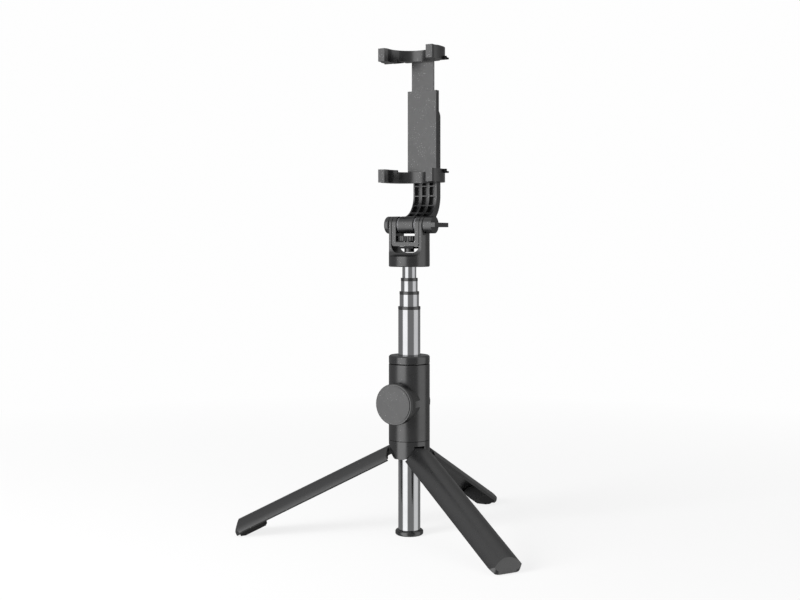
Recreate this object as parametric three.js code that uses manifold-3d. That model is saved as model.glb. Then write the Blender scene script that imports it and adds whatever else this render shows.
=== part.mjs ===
// A telescopic selfie stick that opens into a table tripod: a sliding collar with three hinged legs and a
// round remote, four nested tubes, a forked head with a hidden camera screw, and a spring clamp for a phone.
// Millimetres, +Z up. The stick's axis is the Z axis, the feet stand on z = 0, and the clamp faces -Y.
import * as THREE from 'three';
import { mergeVertices } from 'three/addons/utils/BufferGeometryUtils.js';
import Module from 'manifold-3d';

const wasm = await Module();
wasm.setup();

// Clearances
const SEAM_GAP = 0.3; // between pieces that meet face to face
const SLIDE_GAP = 0.1; // round a piece that slides in another
const PRESS_GAP = 0.05; // round a piece pressed onto another
const TURN_GAP = 0.15; // round a pin in its hole
const FAR = 40; // how far a cutting block reaches sideways
const SKY = 400; // above everything
const PAST = 1; // how far a cutter passes the face it cuts

// Sides of a round body, from the finest to the coarsest
const FINE = 48;
const ROUND = 40;
const PLAIN = 32;
const SMALL = 24;
const TINY = 16;
const ARC_FINE = 20;
const ARC = 16;
const ARC_COARSE = 6;

// Collar
const COLLAR_DEPTH = 6; // from the main tube's skin to the collar's
const COLLAR_BOTTOM = 49.3;
const HUB_HEIGHT = 11.1;
const SLEEVE_HEIGHT = 47.9;
const CAP_HEIGHT = 5.5;
const SLEEVE_WALL = 2;
const EDGE_ROUND = 1;

// Tubes, from the outermost one inwards
const TUBE_COUNT = 4;
const MAIN_TUBE_RADIUS = 7;
const TUBE_STEP = 0.85;
const TUBE_WALL = 0.35;
const RING_HEIGHT = 1.9;
const RING_SKIRT = 6;
const RING_PROUD = 0.1;
const MAIN_RING_TOP = 144.6;
const EXPOSED = [0, 7.6, 6.6, 7.1]; // how much of each tube shows when the stick is closed
const TUBE_FOOT_STEP = 8.5; // each tube starts this much above the one round it
const GLIDE_HEIGHT = 8;
const FLANGE_LIP = 1.9; // how far the flange stands out past the main tube
const FLANGE_HEIGHT = 3.4;
const FLANGE_PLUG = 6;
const FLANGE_ROUND = 0.8;

// Legs
const LEG_AZIMUTHS = [210, 330, 90];
const LEG_SLOPE = 26.2; // degrees below the horizontal when open
const LEG_LENGTH = 112.4; // from the hinge pin to the tip
const LEG_WALL = 1.8;
const LEG_HALF_ANGLE = 58.6;
const PIVOT_ROOM = 0.5; // between a leg's knuckle and the main tube
const PIVOT_RISE = 5.3; // the hinge pin above the collar's lower edge
const KNUCKLE_RADIUS = 2.5;
const KNUCKLE_HALF_WIDTH = 3.4;
const TONGUE_FOOT = 8.84; // half the tongue's width where it meets the leg's shoulders
const TONGUE_TOP = 2.6; // where the leg starts to widen, below the pin
const SHOULDER_GAP = 0.5;
const PIN_RADIUS = 0.9;
const PIN_LENGTH = 12.4;
const NOSE_BEVEL = 54.4; // degrees between the leg and its bevelled nose
const NOSE_BOTTOM = 5; // how near the stick's axis the nose reaches when folded
const NOSE_CORNER = 6; // radius of the two corners at the tip
const FOOT_LENGTH = 17;
const FOOT_INNER = 2.2; // how near the stick's axis the foot reaches when folded
const FOOT_SIDE_ANGLE = 1.6; // degrees the foot stays inside the leg's edges
const NUB_RADIUS = 0.8;
const NUB_ANGLE = 4; // degrees inside the leg's edge
const NUB_PLACES = [0.44, 0.78]; // shares of the leg's length

// Remote
const REMOTE_RADIUS = 12.9;
const REMOTE_THICKNESS = 5.7;
const REMOTE_DEPTH = 1.2; // the remote's back in front of the collar's skin
const REMOTE_WALL = 0.9;
const REMOTE_ROUND = 0.6;
const FACE_ROUND = 0.4;
const FACE_THICKNESS = 1.1;
const BUTTON_RADIUS = 8;
const BUTTON_THICKNESS = 1.2;
const BUTTON_GROOVE = 0.45;
const BOSS_STEP = 1.3; // how far the remote stands out past its boss
const LAMP_RADIUS = 0.6;
const CELL_RADIUS = 8;
const CELL_THICKNESS = 1.6;
const BOARD_ROOM = 1; // between the board and the case
const LAMP_EDGE = 2.8; // the lamp's centre from the remote's rim
const BOARD_THICKNESS = 0.6;

// Head
const BARREL_RISE = 26.4; // the tilt axis above the head's lower edge
const BARREL_RADIUS = 5.5;
const SLOT_HALF_WIDTH = 10.1;
const SLOT_DEPTH = 17.6;
const SLOT_ROUND = 5;
const SPOT_FACE = 12.2;
const SPOT_MARGIN = 1;
const SCOOP_RADIUS = 5.5;
const SCOOP_RISE = 6.5;
const SOCKET_DEPTH = 4.8;
const SCREW_WELL = 2;
const SCREW_HEAD_RADIUS = 3;
const SCREW_SHANK_RADIUS = 1.5;
const SCREW_TIP = 1; // above the plug's lower end
const PLUG_HEIGHT = 10;
const AXLE_RADIUS = 1.95;
const AXLE_COVER = 1; // what closes the axle's hole at either end
const WASHER_RADIUS = 4.8;
const CAP_END = 15.7;
const KNOB_RADIUS = 5.4;
const KNOB_END = 18.3;
const LEVER_END = 21.3;
const LEVER_REACH = 12.7;
const LEVER_THICKNESS = 2.8;

// Camera yoke and its screw
const YOKE_WINDOW = 6.9;
const YOKE_ROUND = 1.6;
const YOKE_BAR_TOP = 10.9;
const YOKE_BAR_BOTTOM = 13.4;
const WHEEL_RADIUS = 7.1;
const WHEEL_TOP = 6.9;
const WHEEL_HEIGHT = 3.2;
const WHEEL_TEETH = 30;
const WHEEL_GROOVE = 0.35;
const STUD_RADIUS = 3.175; // a quarter-inch camera thread
const STUD_END = 17.2;
const PAD_HALF_WIDTH = 5.5;
const PAD_HALF_DEPTH = 4.8;
const PAD_THICKNESS = 1.4;

// Tilting arm
const KNUCKLE_HALF = 5.2;
const ARM_HALF_WIDTH = 8.65;
const ARM_BEND_Y = 7;
const ARM_BEND_RISE = 19;
const ARM_INNER_RADIUS = 13.6;
const ARM_THICKNESS = 5.2;
const ARM_START = 8.4;
const ARM_RIB = 1.1;
const ARM_POCKET_DEPTH = 3;
const ARM_ROW_RIB = 0.7;
const ARM_ROW_PITCH = 6.4;
const ARM_COLUMNS = 3;
const ARM_LAST_RIB = 80; // degrees round the bend
const WEB_INSET = 0.2; // keeps the web inside the bend
const SWIVEL_WELL = 2;

// Phone clamp
const JAW_ROOM = 1.3; // between a jaw's crescent and the folded collar
const JAW_FRONT = -5.8;
const JAW_HORN_STEP = 0.7; // from the crescent to a horn's inner side
const JAW_HORN_WIDTH = 4.6;
const JAW_SIDE_STEP = 1.2; // how far the jaw's sides stand out past its horns
const JAW_STEP_START = 3.4; // behind the horns' tips
const JAW_STEP_END = 5.8;
const JAW_ARC_START = -3;
const JAW_CORNER = 6;
const JAW_TAPER = 0.6;
const JAW_HEIGHT = 8.3;
const JAW_BACK = 18.5;
const CLAMP_RISE = 27.2; // the lower jaw above the tilt axis
const PHONE_GRIP = 71.1; // between the pads, as opened
const PHONE_FRONT = 8.2;
const GRIP_PAD = 1.2;
const GRIP_LIP = 1.1;
const GRIP_INNER = 12.7;
const GRIP_OUTER = 20.3;
const GRIP_LIP_OUTER = 22.8;
const GRIP_BACK = 15.6;
const SPINE_FRONT = 16.4;
const SPINE_BACK = 20.2;
const SPINE_HALF_WIDTH = 10.5;
const SPINE_LIFT = 1;
const SPINE_HEIGHT = 59.7; // above the lower jaw's underside
const POCKET_HALF_WIDTH = 8.4;
const SPINE_SKIN = 1;
const COVER_THICKNESS = 0.9;
const TONGUE_THICKNESS = 1;
const TONGUE_DROP = 58;
const SPRING_RADIUS = 0.6;
const SPRING_WIRE = 0.18;
const SPRING_PLACE = 4.6;
const SPRING_TURNS = 12;
const SPRING_STEPS = 7; // per turn
const SPRING_FOOT = 1; // above the pocket's floor
const SPRING_HEAD = 2; // below the spine's top
const SWIVEL_RADIUS = 1.6;
const SWIVEL_HEAD_RADIUS = 3.6;

// Sizes that follow from those above
const COLLAR_RADIUS = MAIN_TUBE_RADIUS + COLLAR_DEPTH;
const FLANGE_RADIUS = MAIN_TUBE_RADIUS + FLANGE_LIP;
const HUB_TOP = COLLAR_BOTTOM + HUB_HEIGHT;
const SLEEVE_TOP = HUB_TOP + SLEEVE_HEIGHT;
const COLLAR_TOP = SLEEVE_TOP + CAP_HEIGHT;
const PIVOT_HEIGHT = COLLAR_BOTTOM + PIVOT_RISE;
const PIVOT_RADIUS = MAIN_TUBE_RADIUS + PIVOT_ROOM + KNUCKLE_RADIUS; // the hinge pin's distance from the stick's axis
const tubeRadius = (k) => MAIN_TUBE_RADIUS - k * TUBE_STEP;
const boreRadius = (k) => tubeRadius(k) - TUBE_WALL;
const tubeFoot = (k) => FLANGE_HEIGHT + SLIDE_GAP + (k > 0 ? FLANGE_PLUG : 0) + k * TUBE_FOOT_STEP;
const ringTop = (k) => {
  let top = MAIN_RING_TOP;
  for (let i = 1; i <= k; i++) {
    top += EXPOSED[i] + RING_HEIGHT;
  }
  return top;
};
const HEAD_BOTTOM = ringTop(TUBE_COUNT - 2) + EXPOSED[TUBE_COUNT - 1];
const BARREL_HEIGHT = HEAD_BOTTOM + BARREL_RISE;
const SLOT_FLOOR = BARREL_HEIGHT - SLOT_DEPTH;
const SLAB_HALF = BARREL_RADIUS;
const YOKE_HALF_WIDTH = SLOT_HALF_WIDTH - SLIDE_GAP - SEAM_GAP;
const BOSS_RADIUS = REMOTE_RADIUS - BOSS_STEP;
const BOARD_RADIUS = REMOTE_RADIUS - REMOTE_WALL - BOARD_ROOM;
const LAMP_RISE = REMOTE_RADIUS - LAMP_EDGE;
const REMOTE_STANDOFF = COLLAR_RADIUS + REMOTE_DEPTH;
const REMOTE_HEIGHT = HUB_TOP + SLEEVE_HEIGHT / 2;
const JAW_ARC_RADIUS = COLLAR_RADIUS + JAW_ROOM;
const JAW_HORN_INNER = JAW_ARC_RADIUS + JAW_HORN_STEP;
const JAW_HORN_OUTER = JAW_HORN_INNER + JAW_HORN_WIDTH;
const LOWER_JAW_BOTTOM = BARREL_HEIGHT + CLAMP_RISE;
const SPINE_TOP = LOWER_JAW_BOTTOM + SPINE_HEIGHT;
const LOWER_GRIP = LOWER_JAW_BOTTOM + JAW_HEIGHT - GRIP_LIP;
const UPPER_GRIP = LOWER_GRIP + PHONE_GRIP;
const UPPER_JAW_BOTTOM = UPPER_GRIP - GRIP_LIP;
const SWIVEL_HEIGHT = (LOWER_GRIP + UPPER_GRIP) / 2;
const ARM_FRONT = ARM_BEND_Y + ARM_INNER_RADIUS;
const ARM_BACK = ARM_FRONT + ARM_THICKNESS;

const radians = THREE.MathUtils.degToRad;

// Solids

// Turns a closed geometry into a solid whose faces point out.
function solid(geometry) {
  const bare = geometry.clone();
  bare.deleteAttribute('normal');
  bare.deleteAttribute('uv');
  const merged = mergeVertices(bare, 1e-5);
  const points = merged.attributes.position.array;
  const source = merged.index.array;
  const kept = [];
  for (let i = 0; i < source.length; i += 3) {
    const [a, b, c] = [source[i], source[i + 1], source[i + 2]];
    if (a !== b && b !== c && c !== a) {
      kept.push(a, b, c);
    }
  }
  let volume = 0;
  const corner = (i) => new THREE.Vector3(points[3 * i], points[3 * i + 1], points[3 * i + 2]);
  for (let i = 0; i < kept.length; i += 3) {
    volume += corner(kept[i]).dot(corner(kept[i + 1]).cross(corner(kept[i + 2])));
  }
  if (volume < 0) {
    kept.reverse();
  }
  const mesh = new wasm.Mesh({
    numProp: 3,
    vertProperties: new Float32Array(points),
    triVerts: new Uint32Array(kept),
  });
  return new wasm.Manifold(mesh);
}

function surface(body) {
  const mesh = body.getMesh();
  const geometry = new THREE.BufferGeometry();
  geometry.setAttribute('position', new THREE.BufferAttribute(new Float32Array(mesh.vertProperties), 3));
  geometry.setIndex(new THREE.BufferAttribute(new Uint32Array(mesh.triVerts), 1));
  return geometry;
}

function joined(bodies) {
  return bodies.reduce((whole, body) => whole.add(body));
}

function cut(body, cutters) {
  return cutters.reduce((left, cutter) => left.subtract(cutter), body);
}

// A body turned from a closed outline of [radius, z] points about the Z axis.
function turned(outline, steps = ROUND) {
  const points = outline.map(([radius, z]) => new THREE.Vector2(radius, z));
  const onAxis = outline[0][0] === 0 && outline[outline.length - 1][0] === 0;
  if (!onAxis) {
    points.push(points[0].clone());
  }
  return solid(new THREE.LatheGeometry(points, steps).rotateX(Math.PI / 2));
}

function ringBody(inner, outer, bottom, top, steps = ROUND) {
  return turned([[inner, bottom], [outer, bottom], [outer, top], [inner, top]], steps);
}

function rod(radius, bottom, top, steps = PLAIN) {
  return turned([[0, bottom], [radius, bottom], [radius, top], [0, top]], steps);
}

// A rod lying along X or Y, at a height.
function rodAlongX(radius, from, to, y, z, steps = PLAIN) {
  const geometry = new THREE.CylinderGeometry(radius, radius, to - from, steps).rotateZ(Math.PI / 2);
  return solid(geometry.translate((from + to) / 2, y, z));
}

function rodAlongY(radius, from, to, x, z, steps = PLAIN) {
  const geometry = new THREE.CylinderGeometry(radius, radius, to - from, steps);
  return solid(geometry.translate(x, (from + to) / 2, z));
}

function block(low, high) {
  const size = high.map((value, i) => value - low[i]);
  const middle = high.map((value, i) => (value + low[i]) / 2);
  return solid(new THREE.BoxGeometry(...size).translate(...middle));
}

// An outline in X and Y, raised along Z.
function raised(shape, bottom, top, curveSegments = ARC) {
  const options = { depth: top - bottom, bevelEnabled: false, curveSegments };
  return solid(new THREE.ExtrudeGeometry(shape, options).translate(0, 0, bottom));
}

// An outline in X and Z, drawn out along Y.
function drawnAlongY(shape, from, to, curveSegments = ARC) {
  const options = { depth: to - from, bevelEnabled: false, curveSegments };
  const geometry = new THREE.ExtrudeGeometry(shape, options).rotateX(Math.PI / 2);
  return solid(geometry.translate(0, to, 0));
}

// An outline in Y and Z, drawn out along X.
function drawnAlongX(shape, from, to, curveSegments = ARC) {
  const options = { depth: to - from, bevelEnabled: false, curveSegments };
  const geometry = new THREE.ExtrudeGeometry(shape, options).rotateY(Math.PI / 2).rotateX(Math.PI / 2);
  return solid(geometry.translate(from, 0, 0));
}

function polygon(points) {
  return new THREE.Shape(points.map(([x, y]) => new THREE.Vector2(x, y)));
}

function roundedSlot(halfWidth, bottom, top, radius) {
  const shape = new THREE.Shape();
  shape.moveTo(halfWidth, top);
  shape.lineTo(-halfWidth, top);
  shape.lineTo(-halfWidth, bottom + radius);
  shape.absarc(-halfWidth + radius, bottom + radius, radius, Math.PI, 1.5 * Math.PI, false);
  shape.absarc(halfWidth - radius, bottom + radius, radius, 1.5 * Math.PI, 2 * Math.PI, false);
  shape.closePath();
  return shape;
}

// Finishes
function finish(color, roughness, metalness = 0) {
  return new THREE.MeshStandardMaterial({ color, roughness, metalness });
}

const blackPlastic = finish(0x2e2f31, 0.42);
const glossPlastic = finish(0x3a3b3d, 0.35);
const buttonPlastic = finish(0x6c6c6d, 0.4);
const aluminium = finish(0xb9bbbd, 0.28, 1);
const steel = finish(0x9a9c9f, 0.35, 1);
const rubber = finish(0x1b1b1c, 0.85);
const nylon = finish(0x4a4b4d, 0.6);
const circuitBoard = finish(0x1f5a3a, 0.5);
const lampLens = finish(0xe8eef2, 0.3);

const model = new THREE.Group();

function piece(name, body, material, group = model) {
  const mesh = new THREE.Mesh(surface(body), material);
  mesh.name = name;
  group.add(mesh);
}

// Collar: the sleeve, its top cap, the leg hub and the bush that grips the main tube

const BUSH_BORE = MAIN_TUBE_RADIUS + SLIDE_GAP;
const COLLAR_BORE = BUSH_BORE + SEAM_GAP;
const BUSH_OUTER = COLLAR_RADIUS - SLEEVE_WALL - SEAM_GAP;

function topCap() {
  const bottom = SLEEVE_TOP + SEAM_GAP / 2;
  const corner = EDGE_ROUND * (1 - Math.SQRT1_2);
  return turned([
    [COLLAR_BORE, bottom], [COLLAR_RADIUS, bottom], [COLLAR_RADIUS, COLLAR_TOP - EDGE_ROUND],
    [COLLAR_RADIUS - corner, COLLAR_TOP - corner], [COLLAR_RADIUS - EDGE_ROUND, COLLAR_TOP],
    [COLLAR_BORE, COLLAR_TOP],
  ]);
}

function sleeve() {
  const [bottom, top] = [HUB_TOP + SEAM_GAP / 2, SLEEVE_TOP - SEAM_GAP / 2];
  const boss = rodAlongY(BOSS_RADIUS, -REMOTE_STANDOFF + SEAM_GAP, -PIVOT_RADIUS, 0, REMOTE_HEIGHT, FINE);
  const outer = turned([[0, bottom], [COLLAR_RADIUS, bottom], [COLLAR_RADIUS, top], [0, top]]);
  return outer.add(boss).subtract(rod(COLLAR_RADIUS - SLEEVE_WALL, bottom - PAST, top + PAST, FINE));
}

function bush() {
  return ringBody(BUSH_BORE, BUSH_OUTER, HUB_TOP + SEAM_GAP, SLEEVE_TOP - SEAM_GAP);
}

// The opening that one leg's tongue folds into, on the +X side.
function legNotch() {
  const slotHalf = KNUCKLE_HALF_WIDTH + SEAM_GAP;
  const slope = radians(LEG_SLOPE);
  const reach = COLLAR_RADIUS - PIVOT_RADIUS;
  const opened = reach * Math.cos(slope) - (TONGUE_TOP / 2) * Math.sin(slope);
  const slotTop = PIVOT_HEIGHT + Math.max(KNUCKLE_RADIUS, opened) + SEAM_GAP;
  const slot = block([0, -slotHalf, COLLAR_BOTTOM - PAST], [COLLAR_RADIUS + PAST, slotHalf, slotTop]);
  const flareTop = PIVOT_HEIGHT + SEAM_GAP;
  const flareHalf = TONGUE_FOOT + SEAM_GAP;
  const flare = polygon([
    [-flareHalf, COLLAR_BOTTOM - PAST], [flareHalf, COLLAR_BOTTOM - PAST], [flareHalf, COLLAR_BOTTOM],
    [slotHalf, flareTop], [-slotHalf, flareTop], [-flareHalf, COLLAR_BOTTOM],
  ]);
  const shellInside = COLLAR_RADIUS - LEG_WALL - SEAM_GAP;
  const rim = ringBody(shellInside, COLLAR_RADIUS + PAST, COLLAR_BOTTOM - 2 * PAST, HUB_TOP);
  return slot.add(drawnAlongX(flare, 0, COLLAR_RADIUS + PAST).intersect(rim));
}

function legHub() {
  const body = ringBody(COLLAR_BORE, COLLAR_RADIUS, COLLAR_BOTTOM, HUB_TOP - SEAM_GAP / 2);
  const half = PIN_LENGTH / 2 + SEAM_GAP;
  const hole = rodAlongY(PIN_RADIUS + TURN_GAP, -half, half, PIVOT_RADIUS, PIVOT_HEIGHT, TINY);
  const cutters = LEG_AZIMUTHS.flatMap((azimuth) => {
    const turn = [0, 0, azimuth];
    return [legNotch().rotate(turn), hole.rotate(turn)];
  });
  return cut(body, cutters);
}

// Legs, drawn folded: the pin at the origin, the leg down -Z, its round back facing +X

function legSector(halfAngle, radius, bottom, top) {
  const shape = new THREE.Shape();
  const angle = radians(halfAngle);
  shape.moveTo(0, 0);
  shape.lineTo(radius * Math.cos(angle), -radius * Math.sin(angle));
  shape.absarc(0, 0, radius, -angle, angle, false);
  shape.closePath();
  return raised(shape, bottom, top, ARC_FINE).translate([-PIVOT_RADIUS, 0, 0]);
}

// Everything beyond the bevelled nose, moved in by an inset.
function beyondNose(inset) {
  const bevel = radians(NOSE_BEVEL);
  const reach = COLLAR_RADIUS - PIVOT_RADIUS;
  const tip = -LEG_LENGTH + inset;
  const slab = block([-FAR, -FAR, -FAR], [FAR, FAR, 0]).rotate([0, NOSE_BEVEL - 90, 0]);
  const crest = tip + 2 * reach / Math.tan(bevel);
  return slab.translate([reach, 0, crest]).add(block([-FAR, -FAR, tip - FAR], [FAR, FAR, tip]));
}

// What stays of the leg where its two corners at the tip are rounded, moved in by an inset.
function roundedTip(inset) {
  const half = COLLAR_RADIUS * Math.sin(radians(LEG_HALF_ANGLE)) - inset;
  return drawnAlongX(roundedSlot(half, inset - LEG_LENGTH, FAR, NOSE_CORNER - inset), -FAR, FAR, ARC_COARSE);
}

function legTopCutter() {
  const shoulder = -(PIVOT_RISE + SHOULDER_GAP);
  const reach = FAR / 2;
  const foot = TONGUE_FOOT;
  const neck = KNUCKLE_HALF_WIDTH;
  const sides = [-1, 1].map((side) => {
    const outline = polygon([
      [side * reach, shoulder], [side * foot, shoulder], [side * foot, shoulder + SHOULDER_GAP],
      [side * neck, -TONGUE_TOP], [side * neck, FAR], [side * reach, FAR],
    ]);
    return drawnAlongX(outline, -FAR, FAR);
  });
  const crown = block([-FAR, -FAR, -TONGUE_TOP / 2], [FAR, FAR, FAR]);
  return joined([...sides, crown]);
}

function legShell() {
  const tip = -LEG_LENGTH;
  const outer = legSector(LEG_HALF_ANGLE, COLLAR_RADIUS, tip, 0);
  const hollow = rod(COLLAR_RADIUS - LEG_WALL, tip - PAST, FAR, FINE).translate([-PIVOT_RADIUS, 0, 0]);
  const behind = block([-FAR, -FAR, tip - PAST], [NOSE_BOTTOM - PIVOT_RADIUS, FAR, FAR]);
  const channel = hollow.subtract(beyondNose(LEG_WALL)).intersect(roundedTip(LEG_WALL));
  const shell = cut(outer.intersect(roundedTip(0)), [channel, beyondNose(0), behind, legTopCutter()]);
  const lugBack = -KNUCKLE_RADIUS + SEAM_GAP;
  const lugFoot = -(PIVOT_RISE + TONGUE_TOP);
  const lugFront = COLLAR_RADIUS - LEG_WALL / 2 - PIVOT_RADIUS;
  const half = KNUCKLE_HALF_WIDTH;
  const lug = block([lugBack, -half, lugFoot], [lugFront, half, 0]);
  const knuckle = rodAlongY(KNUCKLE_RADIUS, -half, half, 0, 0, SMALL);
  const hole = rodAlongY(PIN_RADIUS + TURN_GAP, -half - PAST, half + PAST, 0, 0, TINY);
  const nubs = NUB_PLACES.map((share) => legNub(share * LEG_LENGTH));
  return joined([shell, lug, knuckle, ...nubs]).subtract(hole);
}

// A snap bead on the inside of one long edge.
function legNub(distance) {
  const angle = radians(NUB_ANGLE - LEG_HALF_ANGLE);
  const radius = COLLAR_RADIUS - LEG_WALL;
  const bead = new THREE.SphereGeometry(NUB_RADIUS, 10, 8);
  const x = radius * Math.cos(angle) - PIVOT_RADIUS;
  return solid(bead.translate(x, radius * Math.sin(angle), -distance));
}

function legFoot() {
  const top = -LEG_LENGTH + FOOT_LENGTH + LEG_WALL;
  const inset = LEG_WALL + SEAM_GAP;
  const pie = legSector(LEG_HALF_ANGLE - FOOT_SIDE_ANGLE, COLLAR_RADIUS - inset, -LEG_LENGTH, top);
  const behind = block([-FAR, -FAR, -2 * LEG_LENGTH], [FOOT_INNER - PIVOT_RADIUS, FAR, 0]);
  return cut(pie.intersect(roundedTip(inset)), [behind, beyondNose(inset), groundSide()]);
}

// Everything under the ground as the open leg sees it.
function groundSide() {
  const slope = radians(LEG_SLOPE);
  const along = [Math.sin(slope), -Math.cos(slope)];
  const up = [Math.cos(slope), Math.sin(slope)];
  const foot = [-PIVOT_HEIGHT * up[0], -PIVOT_HEIGHT * up[1]];
  const reach = 2 * LEG_LENGTH;
  const corner = (a, u) => [foot[0] + a * along[0] + u * up[0], foot[1] + a * along[1] + u * up[1]];
  const outline = polygon([corner(-reach, 0), corner(reach, 0), corner(reach, -FAR), corner(-reach, -FAR)]);
  return drawnAlongY(outline, -FAR, FAR);
}

function addLeg(azimuth, i) {
  const hinge = new THREE.Group();
  hinge.rotation.z = radians(azimuth);
  const pivot = new THREE.Group();
  pivot.position.set(PIVOT_RADIUS, 0, PIVOT_HEIGHT);
  hinge.add(pivot);
  piece(`leg_pin_${i + 1}`, rodAlongY(PIN_RADIUS, -PIN_LENGTH / 2, PIN_LENGTH / 2, 0, 0, TINY),
    steel, pivot);
  const swing = new THREE.Group();
  swing.rotation.y = -radians(90 - LEG_SLOPE);
  pivot.add(swing);
  piece(`leg_shell_${i + 1}`, legShell(), blackPlastic, swing);
  piece(`leg_foot_${i + 1}`, legFoot(), rubber, swing);
  model.add(hinge);
}

// Remote: a puck on the collar, its button, lamp, cell and board, turned about its own axis facing -Y

// Lays a turned body on its side, so that its +Z end faces -Y, at the remote's height.
function facing(body) {
  return body.rotate([90, 0, 0]).translate([0, 0, REMOTE_HEIGHT]);
}

const REMOTE_FRONT = REMOTE_STANDOFF + REMOTE_THICKNESS;
const FACE_BACK = REMOTE_FRONT - FACE_THICKNESS;

function remoteCase() {
  const floor = REMOTE_STANDOFF + REMOTE_WALL;
  const inside = REMOTE_RADIUS - REMOTE_WALL;
  const top = FACE_BACK - SEAM_GAP / 2;
  return facing(turned([
    [0, REMOTE_STANDOFF], [REMOTE_RADIUS - REMOTE_ROUND, REMOTE_STANDOFF],
    [REMOTE_RADIUS, REMOTE_STANDOFF + REMOTE_ROUND],
    [REMOTE_RADIUS, top], [inside, top], [inside, floor], [0, floor],
  ]));
}

function remoteFace() {
  const hole = BUTTON_RADIUS + BUTTON_GROOVE;
  const plate = facing(turned([
    [hole, FACE_BACK], [REMOTE_RADIUS, FACE_BACK], [REMOTE_RADIUS, REMOTE_FRONT - FACE_ROUND],
    [REMOTE_RADIUS - FACE_ROUND, REMOTE_FRONT], [hole, REMOTE_FRONT],
  ]));
  const lampHole = LAMP_RADIUS + SLIDE_GAP;
  return plate.subtract(rodAlongY(lampHole, -FAR, -REMOTE_STANDOFF, 0, REMOTE_HEIGHT + LAMP_RISE, TINY));
}

function addRemote() {
  const boardFront = REMOTE_STANDOFF + REMOTE_WALL + CELL_THICKNESS + 2 * SEAM_GAP + BOARD_THICKNESS;
  const cellBack = REMOTE_STANDOFF + REMOTE_WALL + SEAM_GAP / 2;
  const buttonBack = REMOTE_FRONT - BUTTON_THICKNESS;
  piece('remote_case', remoteCase(), blackPlastic);
  piece('remote_face', remoteFace(), buttonPlastic);
  piece('remote_button', facing(rod(BUTTON_RADIUS, buttonBack, REMOTE_FRONT, FINE)), buttonPlastic);
  piece('remote_cell', facing(rod(CELL_RADIUS, cellBack, cellBack + CELL_THICKNESS)), steel);
  const board = rod(BOARD_RADIUS, boardFront - BOARD_THICKNESS, boardFront);
  piece('remote_board', facing(board), circuitBoard);
  const lampBack = -boardFront - SEAM_GAP;
  const lamp = rodAlongY(LAMP_RADIUS, -REMOTE_FRONT, lampBack, 0, REMOTE_HEIGHT + LAMP_RISE, TINY);
  piece('remote_lamp', lamp, lampLens);
}

// Telescopic tubes: each has a plastic ring at its mouth and a glide at its inner end

function mouthRing(k) {
  const top = ringTop(k);
  const bottom = top - RING_HEIGHT;
  const outer = tubeRadius(k) + RING_PROUD;
  const bore = tubeRadius(k + 1) + SLIDE_GAP;
  const skirt = boreRadius(k) - PRESS_GAP;
  return turned([
    [bore, bottom - RING_SKIRT], [skirt, bottom - RING_SKIRT], [skirt, bottom], [outer, bottom],
    [outer, top - RING_PROUD], [outer - RING_PROUD, top], [bore, top],
  ]);
}

function glide(k) {
  const foot = tubeFoot(k);
  return ringBody(tubeRadius(k) + PRESS_GAP, boreRadius(k - 1) - SLIDE_GAP, foot, foot + GLIDE_HEIGHT);
}

function flange() {
  const top = FLANGE_HEIGHT;
  const plug = boreRadius(0) - PRESS_GAP;
  const round = FLANGE_ROUND;
  return turned([
    [0, 0], [FLANGE_RADIUS - round, 0], [FLANGE_RADIUS, round],
    [FLANGE_RADIUS, top - round], [FLANGE_RADIUS - round, top], [plug, top], [plug, top + FLANGE_PLUG],
    [0, top + FLANGE_PLUG],
  ]);
}

function addTubes() {
  const last = TUBE_COUNT - 1;
  for (let k = 0; k <= last; k++) {
    const top = k < last ? ringTop(k) - RING_HEIGHT - PRESS_GAP : HEAD_BOTTOM + SOCKET_DEPTH - SEAM_GAP;
    piece(`tube_${k + 1}`, ringBody(boreRadius(k), tubeRadius(k), tubeFoot(k), top), aluminium);
    if (k < last) {
      piece(`tube_ring_${k + 1}`, mouthRing(k), blackPlastic);
    }
    if (k > 0) {
      piece(`tube_glide_${k + 1}`, glide(k), nylon);
    }
  }
  piece('end_flange', flange(), blackPlastic);
}

// Head: a fork that pans on the inner tube, with the tilt axle across it

const PLUG_TOP = HEAD_BOTTOM + SOCKET_DEPTH - SEAM_GAP;

function scoop(side) {
  const floor = HEAD_BOTTOM + SCOOP_RISE;
  const shape = new THREE.Shape();
  const wall = SLAB_HALF + SCOOP_RADIUS;
  shape.moveTo(FAR, floor);
  shape.lineTo(FAR, BARREL_HEIGHT + FAR);
  shape.lineTo(SLAB_HALF, BARREL_HEIGHT + FAR);
  shape.lineTo(SLAB_HALF, floor + SCOOP_RADIUS);
  shape.absarc(wall, floor + SCOOP_RADIUS, SCOOP_RADIUS, Math.PI, 1.5 * Math.PI, false);
  shape.closePath();
  const body = drawnAlongX(shape, -FAR, FAR);
  return side > 0 ? body : body.rotate([0, 0, 180]);
}

// What stays of a body that is rounded over at the tilt axis.
function roundTop(halfWidth) {
  const crown = rodAlongX(BARREL_RADIUS, -halfWidth, halfWidth, 0, BARREL_HEIGHT, ROUND);
  return crown.add(block([-halfWidth, -FAR, 0], [halfWidth, FAR, BARREL_HEIGHT]));
}

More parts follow.
